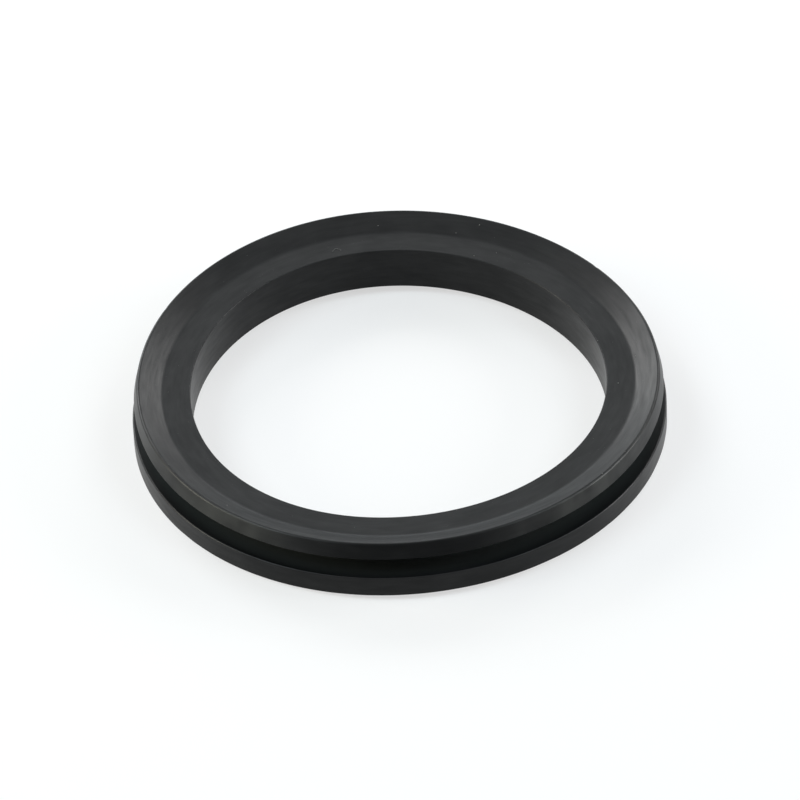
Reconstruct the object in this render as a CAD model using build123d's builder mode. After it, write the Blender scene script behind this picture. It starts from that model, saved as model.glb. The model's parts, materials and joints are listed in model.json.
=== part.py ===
"""U cup seal: a moulded rubber ring whose U section opens radially outward.

The section is a solid heel round a plain bore, with two lips that reach outward from it and leave
a round-bottomed groove between them. The upper lip flares well above the heel and leaves the top
dished. The lower lip is thicker and flares less, its outer wall is a plain cylinder that stands a
little proud of the upper lip, and the ring rests on a narrow flat rim at its foot.

Millimetres, +Z up along the bore. The origin is on the bore axis, in the plane of the rim.
"""

import os

from build123d import *

# Heel: the solid inner wall of the U
bore_radius = 25.0
heel_height = 5.66
heel_land = 3.42  # width of the flat top and bottom faces, from the bore to the foot of the lips
bore_chamfer = 0.32

# Upper lip
upper_lip_reach = 6.4  # from the bore to the crest
upper_lip_rise = 1.33  # crest above the heel's top face
upper_tip_height = 2.03  # lip thickness at its tip, along the axis
upper_tip_lean = 0.4  # how far the tip face leans out, from the crest down to the groove
crest_chamfer = 0.22

# Lower lip
lower_lip_reach = 7.16  # from the bore to the lip's outer wall
lower_lip_drop = 0.44  # rim below the heel's bottom face
lower_tip_height = 2.7
rim_land = 0.6  # width of the flat rim, up to the outer wall

# Groove between the lips
heel_wall = 3.3  # from the bore to the floor of the groove
groove_floor_height = 2.62  # lower corner of the floor above the rim plane
groove_floor_width = 2.05
groove_root_radius = 0.95

# Heights above the rim plane, and radii from the axis
heel_bottom = lower_lip_drop
heel_top = heel_bottom + heel_height
crest_height = heel_top + upper_lip_rise
lip_foot_radius = bore_radius + heel_land
crest_radius = bore_radius + upper_lip_reach
outside_radius = bore_radius + lower_lip_reach
groove_floor_radius = bore_radius + heel_wall

# Corners of the section, as (radius, height)
bore_foot = (bore_radius, heel_bottom)
lower_lip_foot = (lip_foot_radius, heel_bottom)
rim_inner_edge = (outside_radius - rim_land, 0)
rim_outer_edge = (outside_radius, 0)
lower_mouth_edge = (outside_radius, lower_tip_height)
groove_floor_bottom = (groove_floor_radius, groove_floor_height)
groove_floor_top = (groove_floor_radius, groove_floor_height + groove_floor_width)
upper_mouth_edge = (crest_radius + upper_tip_lean, crest_height - upper_tip_height)
crest = (crest_radius, crest_height)
upper_lip_foot = (lip_foot_radius, heel_top)
bore_head = (bore_radius, heel_top)

with BuildPart() as seal_ring:
    with BuildSketch(Plane.XZ) as section:
        with BuildLine():
            Polyline(
                bore_foot,
                lower_lip_foot,
                rim_inner_edge,
                rim_outer_edge,
                lower_mouth_edge,
                groove_floor_bottom,
                groove_floor_top,
                upper_mouth_edge,
                crest,
                upper_lip_foot,
                bore_head,
                close=True,
            )
        make_face()

        for corner in (groove_floor_bottom, groove_floor_top):
            root_corner = section.vertices().sort_by_distance(corner)[0]
            fillet(root_corner, radius=groove_root_radius)

        chamfers = {
            bore_foot: bore_chamfer,
            bore_head: bore_chamfer,
            crest: crest_chamfer,
        }
        for corner, size in chamfers.items():
            edge_corner = section.vertices().sort_by_distance(corner)[0]
            chamfer(edge_corner, length=size)
    revolve(axis=Axis.Z)

seal_ring.part.label = "seal_ring"

os.makedirs("parts", exist_ok=True)
export_step(seal_ring.part, "parts/seal_ring.step")
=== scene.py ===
"""Looks of the u cup seal: a moulded black rubber ring on a white studio floor.

The ring's lengths are in millimetres, and are turned into metres where geometry is made. Its section is
the solid's with rounded edges, and it lies a little out of flat, as loose rubber does. The studio's
lengths are in metres.
"""

import json
import math
import random

import bpy
from mathutils import Matrix, Vector, noise


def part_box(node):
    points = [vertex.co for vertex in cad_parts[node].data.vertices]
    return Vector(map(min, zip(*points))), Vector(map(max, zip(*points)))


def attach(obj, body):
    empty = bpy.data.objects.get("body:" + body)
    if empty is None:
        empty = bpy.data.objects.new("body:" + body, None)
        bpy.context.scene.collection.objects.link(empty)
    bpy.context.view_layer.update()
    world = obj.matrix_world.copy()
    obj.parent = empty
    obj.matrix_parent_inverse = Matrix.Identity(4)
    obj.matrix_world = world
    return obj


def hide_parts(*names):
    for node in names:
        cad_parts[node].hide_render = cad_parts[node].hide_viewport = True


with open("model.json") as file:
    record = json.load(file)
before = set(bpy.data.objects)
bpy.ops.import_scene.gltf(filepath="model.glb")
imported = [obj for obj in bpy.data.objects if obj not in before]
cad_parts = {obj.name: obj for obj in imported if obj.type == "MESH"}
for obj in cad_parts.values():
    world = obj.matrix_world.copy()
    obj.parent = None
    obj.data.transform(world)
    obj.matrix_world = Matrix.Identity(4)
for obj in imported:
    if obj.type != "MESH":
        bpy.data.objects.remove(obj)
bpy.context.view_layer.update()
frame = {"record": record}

MM = 0.001

# ---------------------------------------------------------------- the ring's sizes, in millimetres

BORE_RADIUS = frame["record"]["mounts"][0]["dims"]["r_mm"]
OUTSIDE_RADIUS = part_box("seal_ring")[1].x / MM
HEEL_BOTTOM = 0.44
HEEL_TOP = 6.10
LIP_FOOT_RADIUS = BORE_RADIUS + 3.42
RIM_RADIUS = OUTSIDE_RADIUS - 0.6
LOWER_MOUTH_HEIGHT = 2.7
FLOOR_RADIUS = BORE_RADIUS + 3.3
GROOVE_BOTTOM = 2.62
GROOVE_TOP = 4.67
UPPER_MOUTH_RADIUS, UPPER_MOUTH_HEIGHT = 31.88, 5.36
CREST_RADIUS, CREST_HEIGHT = 31.40, 7.44

# Edge and root radii
BORE_EDGE = 0.13
LIP_FOOT_BLEND = 1.2
RIM_FOOT = 0.3
RIM_EDGE = 0.14
LOWER_MOUTH_EDGE = 0.18
GROOVE_ROOT = 0.95
UPPER_MOUTH_EDGE = 0.12
CREST_EDGE = 0.30

# Fineness of the mesh: the widest step along a rounded corner, and the number of steps round the ring
ARC_STEP = math.radians(13)
RING_STEPS = 1100

# How far the loose ring is out of flat: a saddle with two low and two high places
SADDLE = 0.43
SADDLE_HIGH_AT = math.radians(115)

# How uneven the lips' edges are, and the crest's nicks: angle in degrees, depth and width of each
LIP_WAVER = 0.03
WAVER_TURNS = 7
NICK_REACH = 0.5  # how far from the crest a nick still shows
NICK_INWARD = 0.5  # how far a nick cuts inward, as a share of its depth
NICKS = [
    (-32, 0.24, 0.32),
    (-40.5, 0.12, 0.25),
    (-74, 0.04, 0.3),
    (-131, 0.06, 0.4),
    (152, 0.04, 0.3),
    (38, 0.05, 0.3),
]

# Wear of the upper lip's tip: scuffed on both sides of the front, and dull across the front.
# The sideways places are cosines of the angle round the ring.
SCUFF_SIDEWAYS, SCUFF_SPREAD = 0.68, 0.2
SCUFF_LEVEL, SCUFF_PATCHES = 0.7, 1.1
DULL_SPREAD = 0.36
PATCH_TURNS, PATCHES_PER_MM = 9, 0.9
TIP_MARGIN = 0.1

FRACTAL = (1.0, 2.0, 3)  # the noise's roughness, spacing and number of octaves


def saddle_lift(angle):
    """Height of the ring above a flat one: it touches the floor at two places."""
    return SADDLE * (1 + math.cos(2 * (angle - SADDLE_HIGH_AT)))


def nick_depth(angle):
    """Depth of the nicks in the upper lip's crest at this angle."""
    depth = 0.0
    for degrees, deep, wide in NICKS:
        away = math.remainder(angle - math.radians(degrees), 2 * math.pi) * CREST_RADIUS
        depth += deep * math.exp(-((away / wide) ** 2))
    return depth


# ---------------------------------------------------------------- the ring's mesh


def section_corners():
    """Each corner of the section: radius, height, edge radius, and 1 for a corner deep in the groove,
    where light is painted in as a paler colour.
    """
    return [
        (LIP_FOOT_RADIUS, HEEL_BOTTOM, LIP_FOOT_BLEND, 0),
        (RIM_RADIUS, 0.0, RIM_FOOT, 0),
        (OUTSIDE_RADIUS, 0.0, RIM_EDGE, 0),
        (OUTSIDE_RADIUS, LOWER_MOUTH_HEIGHT, LOWER_MOUTH_EDGE, 0),
        # The groove's two deep corners mark where light is painted in as a paler colour
        (FLOOR_RADIUS, GROOVE_BOTTOM, GROOVE_ROOT, 1),
        (FLOOR_RADIUS, GROOVE_TOP, GROOVE_ROOT, 1),
        (UPPER_MOUTH_RADIUS, UPPER_MOUTH_HEIGHT, UPPER_MOUTH_EDGE, 0),
        (CREST_RADIUS, CREST_HEIGHT, CREST_EDGE, 0),
        (LIP_FOOT_RADIUS, HEEL_TOP, LIP_FOOT_BLEND, 0),
        (BORE_RADIUS, HEEL_TOP, BORE_EDGE, 0),
        (BORE_RADIUS, HEEL_BOTTOM, BORE_EDGE, 0),
    ]


def section():
    """The rounded section: a closed list of (point, outward normal, 1 deep in the groove where light is
    painted in, else 0).
    """
    corners = section_corners()
    found = []
    for k, (x, z, radius, depth) in enumerate(corners):
        corner = Vector((x, z))
        back = (Vector(corners[k - 1][:2]) - corner).normalized()
        ahead = (Vector(corners[(k + 1) % len(corners)][:2]) - corner).normalized()
        half = back.angle(ahead) / 2
        centre = corner + (back + ahead).normalized() * radius / math.sin(half)
        reach = radius / math.tan(half)
        first = corner + back * reach - centre
        turn = first.angle_signed(corner + ahead * reach - centre)
        hollow = back.x * ahead.y - back.y * ahead.x > 0
        steps = max(2, math.ceil(abs(turn) / ARC_STEP))
        for j in range(steps + 1):
            spoke = first.copy()
            spoke.rotate(Matrix.Rotation(-turn * j / steps, 2))
            normal = -spoke.normalized() if hollow else spoke.normalized()
            found.append((centre + spoke, normal, depth))
    return found


def tip_wear(angle, point):
    """Wear of the upper lip's tip face: (how pale and scuffed, how dull), each 0 to 1."""
    if point.x < CREST_RADIUS - TIP_MARGIN or point.y < UPPER_MOUTH_HEIGHT - TIP_MARGIN:
        return 0.0, 0.0
    spot = Vector((math.cos(angle), math.sin(angle), 0))
    if spot.y > 0:
        return 0.0, 0.0
    up = Vector((0, 0, point.y * PATCHES_PER_MM))
    patch = noise.fractal(spot * PATCH_TURNS + up, *FRACTAL)
    aside = (abs(spot.x) - SCUFF_SIDEWAYS) / SCUFF_SPREAD
    scuffed = math.exp(-(aside ** 2)) * (SCUFF_LEVEL + SCUFF_PATCHES * patch)
    dull = math.exp(-((spot.x / DULL_SPREAD) ** 4))
    return min(1.0, max(0.0, scuffed)), dull


def make_ring():
    """The section swept round, with exact normals and the shader's three attributes on its points."""
    outline = section()
    crest = Vector((CREST_RADIUS, CREST_HEIGHT))
    count = len(outline)
    verts, faces, normals, groove_light_mask, scuffs, dulls = [], [], [], [], [], []
    for i in range(RING_STEPS):
        angle = 2 * math.pi * i / RING_STEPS
        c, s = math.cos(angle), math.sin(angle)
        lift = saddle_lift(angle)
        waver = LIP_WAVER * noise.fractal(Vector((c * WAVER_TURNS, s * WAVER_TURNS, 3.0)), *FRACTAL)
        nick = nick_depth(angle)
        for point, normal, depth in outline:
            share = max(0.0, (point.x - LIP_FOOT_RADIUS) / (OUTSIDE_RADIUS - LIP_FOOT_RADIUS))
            near_crest = math.exp(-((point - crest).length_squared / NICK_REACH ** 2))
            radius = point.x + min(0.0, waver) * share ** 3 - nick * near_crest * NICK_INWARD
            height = point.y + lift - nick * near_crest
            verts.append((radius * c * MM, radius * s * MM, height * MM))
            normals.append((normal.x * c, normal.x * s, normal.y))
            groove_light_mask.append(float(depth))
            scuffed, dull = tip_wear(angle, point)
            scuffs.append(scuffed)
            dulls.append(dull)
    for i in range(RING_STEPS):
        a, b = i * count, (i + 1) % RING_STEPS * count
        for j in range(count):
            k = (j + 1) % count
            faces.append((a + j, b + j, b + k, a + k))
    mesh = bpy.data.meshes.new("rubber_ring")
    mesh.from_pydata(verts, [], faces)
    mesh.shade_smooth()
    mesh.normals_split_custom_set_from_vertices(normals)
    # Mask of the groove, where a paler colour is painted in as light
    mesh.attributes.new("painted_groove_light", "FLOAT", "POINT").data.foreach_set("value", groove_light_mask)
    mesh.attributes.new("scuff", "FLOAT", "POINT").data.foreach_set("value", scuffs)
    mesh.attributes.new("dull", "FLOAT", "POINT").data.foreach_set("value", dulls)
    ring = bpy.data.objects.new("rubber_ring", mesh)
    bpy.context.scene.collection.objects.link(ring)
    return ring


# ---------------------------------------------------------------- dust on the ring

# Angle in degrees, radius and size of each speck that can be seen
SPECKS = [
    (93, 29.4, 0.13),
    (74, 28.9, 0.12),
    (69, 30.4, 0.17),
    (67, 25.6, 0.12),
    (62, 27.2, 0.13),
    (15, 25.15, 0.17),
    (6, 28.8, 0.14),
    (-4, 26.4, 0.15),
    (-134, 30.1, 0.16),
    (-153, 31.1, 0.10),
    (-41, 31.2, 0.15),
    (-32, 31.2, 0.08),
]
FINE_SPECKS = 150
FINE_SIZES = (0.025, 0.05)
# A grain's corners and heights, as shares of its size
GRAIN_REACH = (0.35, 0.6)
GRAIN_TOP, GRAIN_BOTTOM, GRAIN_LIFT = 0.4, 0.15, 0.1

HAIR_ANGLE, HAIR_RADIUS = 105.0, 26.3
HAIR_LENGTH, HAIR_THICKNESS = 1.15, 0.03
HAIR_BOW, HAIR_CURL = 0.28, 5.0  # how far it bows, and the turn from end to end in radians
HAIR_LIFT, HAIR_WAVE = 0.03, 0.05  # height above the face, and how far every second point is raised


def top_height(radius):
    """Height of the ring's top surface at this radius, on the flat ring."""
    slope = (CREST_HEIGHT - HEEL_TOP) / (CREST_RADIUS - LIP_FOOT_RADIUS)
    return HEEL_TOP + max(0.0, radius - LIP_FOOT_RADIUS) * slope


def on_top(degrees, radius, above=0.0):
    """Point on the ring's top surface, in metres."""
    angle = math.radians(degrees)
    height = top_height(radius) + saddle_lift(angle) + above
    return Vector((radius * math.cos(angle), radius * math.sin(angle), height)) * MM


def add_grain(verts, faces, centre, size):
    """An uneven grain with five corners, a top and a bottom, flatter than it is wide."""
    sides = 5
    first = len(verts)
    for j in range(sides):
        angle = 2 * math.pi * (j + random.uniform(-0.3, 0.3)) / sides
        reach = size * MM * random.uniform(*GRAIN_REACH)
        verts.append(centre + Vector((math.cos(angle) * reach, math.sin(angle) * reach, 0)))
    verts.append(centre + Vector((0, 0, size * MM * GRAIN_TOP)))
    verts.append(centre - Vector((0, 0, size * MM * GRAIN_BOTTOM)))
    for j in range(sides):
        k = (j + 1) % sides
        faces.append((first + j, first + k, first + sides))
        faces.append((first + k, first + j, first + sides + 1))


def make_dust():
    """The specks that can be seen, and fine powder all round."""
    random.seed(5)
    verts, faces = [], []
    for degrees, radius, size in SPECKS:
        add_grain(verts, faces, on_top(degrees, radius, size * GRAIN_LIFT), size)
    for _ in range(FINE_SPECKS):
        degrees = random.uniform(0, 360)
        radius = random.uniform(BORE_RADIUS + 0.3, CREST_RADIUS - 0.4)
        add_grain(verts, faces, on_top(degrees, radius), random.uniform(*FINE_SIZES))
    mesh = bpy.data.meshes.new("dust_specks")
    mesh.from_pydata(verts, [], faces)
    dust = bpy.data.objects.new("dust_specks", mesh)
    bpy.context.scene.collection.objects.link(dust)
    return dust


def make_hair():
    """One short fibre that lies bowed on the ring's flat face."""
    curve = bpy.data.curves.new("dust_hair", "CURVE")
    curve.dimensions = "3D"
    curve.bevel_depth = HAIR_THICKNESS / 2 * MM
    curve.bevel_resolution = 2
    spline = curve.splines.new("NURBS")
    knots = 7
    spline.points.add(knots - 1)
    for k in range(knots):
        along = k / (knots - 1) - 0.5
        degrees = HAIR_ANGLE - math.degrees(along * HAIR_LENGTH / HAIR_RADIUS)
        bow = HAIR_BOW * math.cos(along * HAIR_CURL)
        above = HAIR_LIFT + HAIR_WAVE * (k % 2)
        spline.points[k].co = (*on_top(degrees, HAIR_RADIUS + bow, above), 1)
    spline.use_endpoint_u = True
    hair = bpy.data.objects.new("dust_hair", curve)
    bpy.context.scene.collection.objects.link(hair)
    return hair


# ---------------------------------------------------------------- materials

BLACK = (0.003, 0.0034, 0.0038, 1)
FADED = (0.016, 0.017, 0.017, 1)
SCUFFED = (0.034, 0.035, 0.033, 1)
# Painted light: a paler colour deep in the groove that lifts the shade there
PAINTED_GROOVE_LIGHT = (0.042, 0.048, 0.047, 1)
FADED_SHARE = 0.16  # how much of the faded colour the mottling mixes in at most
GLOSS = 0.2  # specular level, and its spread over the streaks and the mottling
GLOSS_STREAKS, GLOSS_MOTTLE = (0.86, 1.14), (0.9, 1.1)
DULLED_SHARE = 0.55  # how much of the gloss the dull stretch loses
ROUGHNESS = (0.39, 0.33)
RELIEF = 0.006  # depth of the streaks and grain, in millimetres
GRAINS_PER_MM, GRAIN_SHARE = 3.0, 0.35
DARK_DUST = (0.07, 0.072, 0.07, 1)
PALE_DUST = (0.3, 0.3, 0.28, 1)


def new_material(name):
    """An empty node material, its nodes and its links."""
    material = bpy.data.materials.new(name)
    material.use_nodes = True
    material.node_tree.nodes.clear()
    return material, material.node_tree.nodes, material.node_tree.links


def math_node(nodes, links, operation, first, second=0.0):
    """One math node; each of first and second is a number or another node's output."""
    node = nodes.new("ShaderNodeMath")
    node.operation = operation
    for socket, value in zip(node.inputs, (first, second)):
        if isinstance(value, (int, float)):
            socket.default_value = value
        else:
            links.new(value, socket)
    return node.outputs["Value"]


def spread(nodes, links, value, low, high):
    """Noise, which stays mostly between 0.3 and 0.7, mapped to the range low to high."""
    node = nodes.new("ShaderNodeMapRange")
    node.inputs["From Min"].default_value = 0.3
    node.inputs["From Max"].default_value = 0.7
    node.inputs["To Min"].default_value = low
    node.inputs["To Max"].default_value = high
    links.new(value, node.inputs["Value"])
    return node.outputs["Result"]


def ring_noise(nodes, links, turns, per_mm, detail):
    """Noise that runs round the ring in streaks: turns sets their length, per_mm how close they lie."""
    place = nodes.new("ShaderNodeTexCoord")
    split = nodes.new("ShaderNodeSeparateXYZ")
    links.new(place.outputs["Object"], split.inputs["Vector"])
    x, y, z = split.outputs
    squares = [math_node(nodes, links, "POWER", part, 2.0) for part in (x, y)]
    radius = math_node(nodes, links, "SQRT", math_node(nodes, links, "ADD", *squares))
    across = math_node(nodes, links, "MULTIPLY", math_node(nodes, links, "ADD", radius, z), per_mm / MM)
    joined = nodes.new("ShaderNodeCombineXYZ")
    for socket, part in zip(joined.inputs, (x, y)):
        share = math_node(nodes, links, "DIVIDE", part, radius)
        links.new(math_node(nodes, links, "MULTIPLY", share, turns), socket)
    links.new(across, joined.inputs["Z"])
    texture = nodes.new("ShaderNodeTexNoise")
    texture.inputs["Scale"].default_value = 1.0
    texture.inputs["Detail"].default_value = detail
    texture.inputs["Roughness"].default_value = 0.6
    links.new(joined.outputs["Vector"], texture.inputs["Vector"])
    return texture.outputs["Fac"]


def attribute(nodes, name):
    """A value stored on the mesh's points."""
    node = nodes.new("ShaderNodeAttribute")
    node.attribute_name = name
    return node.outputs["Fac"]


def blend(nodes, links, factor, low, high):
    """Mix of two colours; low may be another node's output."""
    node = nodes.new("ShaderNodeMix")
    node.data_type = "RGBA"
    if isinstance(low, tuple):
        node.inputs["A"].default_value = low
    else:
        links.new(low, node.inputs["A"])
    node.inputs["B"].default_value = high
    links.new(factor, node.inputs["Factor"])
    return node.outputs["Result"]


def rubber_material():
    """Black rubber: streaks round the ring, soft mottling, fine grain, and painted light in the groove, a
    paler colour that lifts its shade.
    """
    material, nodes, links = new_material("black_rubber")
    shader = nodes.new("ShaderNodeBsdfPrincipled")
    output = nodes.new("ShaderNodeOutputMaterial")
    links.new(shader.outputs["BSDF"], output.inputs["Surface"])

    streaks = ring_noise(nodes, links, turns=7.0, per_mm=1.7, detail=3.0)
    mottle = ring_noise(nodes, links, turns=5.0, per_mm=0.35, detail=2.0)
    place = nodes.new("ShaderNodeTexCoord")
    grain = nodes.new("ShaderNodeTexNoise")
    grain.inputs["Scale"].default_value = GRAINS_PER_MM / MM
    grain.inputs["Detail"].default_value = 3.0
    links.new(place.outputs["Object"], grain.inputs["Vector"])

    colour = blend(nodes, links, spread(nodes, links, mottle, 0.0, FADED_SHARE), BLACK, FADED)
    colour = blend(nodes, links, attribute(nodes, "scuff"), colour, SCUFFED)
    # Painted light: the groove's colour made paler where it lies in shade
    colour = blend(nodes, links, attribute(nodes, "painted_groove_light"), colour, PAINTED_GROOVE_LIGHT)
    links.new(colour, shader.inputs["Base Color"])

    gloss = math_node(nodes, links, "MULTIPLY", spread(nodes, links, streaks, *GLOSS_STREAKS), GLOSS)
    gloss = math_node(nodes, links, "MULTIPLY", spread(nodes, links, mottle, *GLOSS_MOTTLE), gloss)
    dulled = math_node(nodes, links, "MULTIPLY", attribute(nodes, "dull"), -DULLED_SHARE)
    gloss = math_node(nodes, links, "MULTIPLY", gloss, math_node(nodes, links, "ADD", dulled, 1.0))
    links.new(gloss, shader.inputs["Specular IOR Level"])
    links.new(spread(nodes, links, streaks, *ROUGHNESS), shader.inputs["Roughness"])

    fine = math_node(nodes, links, "MULTIPLY", grain.outputs["Fac"], GRAIN_SHARE)
    bump = nodes.new("ShaderNodeBump")
    bump.inputs["Distance"].default_value = RELIEF * MM
    links.new(math_node(nodes, links, "ADD", streaks, fine), bump.inputs["Height"])
    links.new(bump.outputs["Normal"], shader.inputs["Normal"])
    return material


def dust_material():
    """Pale lint and powder, each grain a little lighter or darker."""
    material, nodes, links = new_material("pale_dust")
    shader = nodes.new("ShaderNodeBsdfPrincipled")
    output = nodes.new("ShaderNodeOutputMaterial")
    links.new(shader.outputs["BSDF"], output.inputs["Surface"])
    place = nodes.new("ShaderNodeTexCoord")
    shades = nodes.new("ShaderNodeTexNoise")
    shades.inputs["Scale"].default_value = 0.4 / MM
    links.new(place.outputs["Object"], shades.inputs["Vector"])
    colour = blend(nodes, links, shades.outputs["Fac"], DARK_DUST, PALE_DUST)
    links.new(colour, shader.inputs["Base Color"])
    shader.inputs["Roughness"].default_value = 0.9
    return material


def seen_directly(nodes, links, strength):
    """That strength for camera, glossy and transmission rays, and zero for all others."""
    path = nodes.new("ShaderNodeLightPath")
    seen = math_node(nodes, links, "MAXIMUM", path.outputs["Is Camera Ray"], path.outputs["Is Glossy Ray"])
    seen = math_node(nodes, links, "MAXIMUM", seen, path.outputs["Is Transmission Ray"])
    return math_node(nodes, links, "MULTIPLY", seen, strength)


def floor_material():
    """White floor: a diffuse share that takes the shadow, and a white share that is seen directly."""
    material, nodes, links = new_material("white_floor")
    output = nodes.new("ShaderNodeOutputMaterial")
    diffuse = nodes.new("ShaderNodeBsdfDiffuse")
    diffuse.inputs["Color"].default_value = (FLOOR_DIFFUSE, FLOOR_DIFFUSE, FLOOR_DIFFUSE, 1)
    glow = nodes.new("ShaderNodeEmission")
    links.new(seen_directly(nodes, links, FLOOR_WHITE), glow.inputs["Strength"])
    both = nodes.new("ShaderNodeAddShader")
    links.new(diffuse.outputs["BSDF"], both.inputs[0])
    links.new(glow.outputs["Emission"], both.inputs[1])
    links.new(both.outputs["Shader"], output.inputs["Surface"])
    return material


# ---------------------------------------------------------------- studio, in metres

FLOOR_HALF = 2.0
FLOOR_DIFFUSE = 0.36
FLOOR_WHITE = 0.62

COOL = (0.86, 1.0, 1.06)
WARM = (1.06, 1.0, 0.84)
PLAIN = (1.0, 1.0, 1.0)
# Name, azimuth and elevation in degrees, radiance and colour. The boxes at the sides are the brightest,
# and those straight behind and overhead the dimmest.
SOFTBOXES = [
    ("low_back", 0, 10, 0.8, COOL),
    ("low_back_left", -30, 10, 1.7, COOL),
    ("low_left", -90, 14, 9.5, WARM),
    ("low_right", 90, 14, 10.5, PLAIN),
    ("back_left", -33, 30, 7.6, PLAIN),
    ("back_right", 33, 30, 4.9, PLAIN),
    ("high_back", 0, 52, 0.6, COOL),
    ("high_left", -110, 52, 5.0, COOL),
    ("high_right", 110, 52, 3.5, COOL),
    ("overhead", 0, 80, 0.3, PLAIN),
]
SOFTBOX_DISTANCE = 0.5
SOFTBOX_SIZE = 0.2
LARGE_SOFTBOX_SIZE = 0.24
LOW_SOFTBOX_HEIGHT = 0.16
LOW_ELEVATION, HIGH_ELEVATION = 12, 45  # below and above these, boxes are flatter or larger
SIDE_AZIMUTH = 90


def direction(azimuth, elevation):
    """Unit vector; azimuth 0 is behind the ring, along +Y, and positive to the right."""
    a, e = math.radians(azimuth), math.radians(elevation)
    return Vector((math.cos(e) * math.sin(a), math.cos(e) * math.cos(a), math.sin(e)))


def softbox(name, azimuth, elevation, radiance, colour):
    """A rectangular lamp that faces the ring. Boxes of equal radiance look equally bright at any size."""
    large = elevation > HIGH_ELEVATION or abs(azimuth) == SIDE_AZIMUTH
    lamp = bpy.data.lights.new(name, "AREA")
    lamp.shape = "RECTANGLE"
    lamp.size = LARGE_SOFTBOX_SIZE if large else SOFTBOX_SIZE
    lamp.size_y = LOW_SOFTBOX_HEIGHT if elevation < LOW_ELEVATION else lamp.size
    lamp.color = colour
    lamp.energy = radiance * math.pi * lamp.size * lamp.size_y
    towards = direction(azimuth, elevation)
    box = bpy.data.objects.new(name, lamp)
    box.location = towards * SOFTBOX_DISTANCE
    box.rotation_euler = towards.to_track_quat("Z", "Y").to_euler()
    box.visible_camera = False
    bpy.context.scene.collection.objects.link(box)


def make_world():
    """A white room that is seen directly and in reflections, and adds no diffuse light."""
    world = bpy.data.worlds.new("studio")
    bpy.context.scene.world = world
    world.use_nodes = True
    nodes, links = world.node_tree.nodes, world.node_tree.links
    nodes.clear()
    output = nodes.new("ShaderNodeOutputWorld")
    room = nodes.new("ShaderNodeBackground")
    room.inputs["Color"].default_value = (1, 1, 1, 1)
    links.new(seen_directly(nodes, links, 1.0), room.inputs["Strength"])
    links.new(room.outputs["Background"], output.inputs["Surface"])


def make_floor():
    """A wide square floor under the ring."""
    quarters = [(-1, -1), (1, -1), (1, 1), (-1, 1)]
    corners = [(x * FLOOR_HALF, y * FLOOR_HALF, 0) for x, y in quarters]
    mesh = bpy.data.meshes.new("floor")
    mesh.from_pydata(corners, [], [(0, 1, 2, 3)])
    floor = bpy.data.objects.new("floor", mesh)
    bpy.context.scene.collection.objects.link(floor)
    floor.data.materials.append(floor_material())


CAMERA_ELEVATION = math.radians(39.82)
CAMERA_ROLL = math.radians(-2.80)
CAMERA_DISTANCE = 1.0
CAMERA_REACH = 20
CAMERA_LENS = 373.4  # millimetres, on a sensor 36 wide
SENSOR_WIDTH = 36.0
AIM_HEIGHT = (0.61 + SADDLE) * MM
FRAME_RISE = 2.11 * MM  # how far the aim is above the ring in the picture's plane


def make_camera():
    """A long lens from the front, about 40 degrees up, rolled a little."""
    data = bpy.data.cameras.new("camera")
    data.sensor_width = SENSOR_WIDTH
    data.lens = CAMERA_LENS
    data.clip_end = CAMERA_REACH
    camera = bpy.data.objects.new("camera", data)
    bpy.context.scene.collection.objects.link(camera)
    back = Vector((0, -math.cos(CAMERA_ELEVATION), math.sin(CAMERA_ELEVATION)))
    level = Vector((1, 0, 0))
    upright = back.cross(level)
    right = math.cos(CAMERA_ROLL) * level + math.sin(CAMERA_ROLL) * upright
    up = math.cos(CAMERA_ROLL) * upright - math.sin(CAMERA_ROLL) * level
    pose = Matrix((right, up, back)).transposed().to_4x4()
    pose.translation = Vector((0, 0, AIM_HEIGHT)) + up * FRAME_RISE + back * CAMERA_DISTANCE
    camera.matrix_world = pose
    bpy.context.scene.camera = camera


ring = make_ring()
ring.data.materials.append(rubber_material())
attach(ring, "root")
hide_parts("seal_ring")

dust = dust_material()
for piece in (make_dust(), make_hair()):
    piece.data.materials.append(dust)
    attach(piece, "root")

make_floor()
make_world()
for name, azimuth, elevation, radiance, colour in SOFTBOXES:
    softbox(name, azimuth, elevation, radiance, colour)
make_camera()
bpy.context.scene.view_settings.view_transform = "Standard"
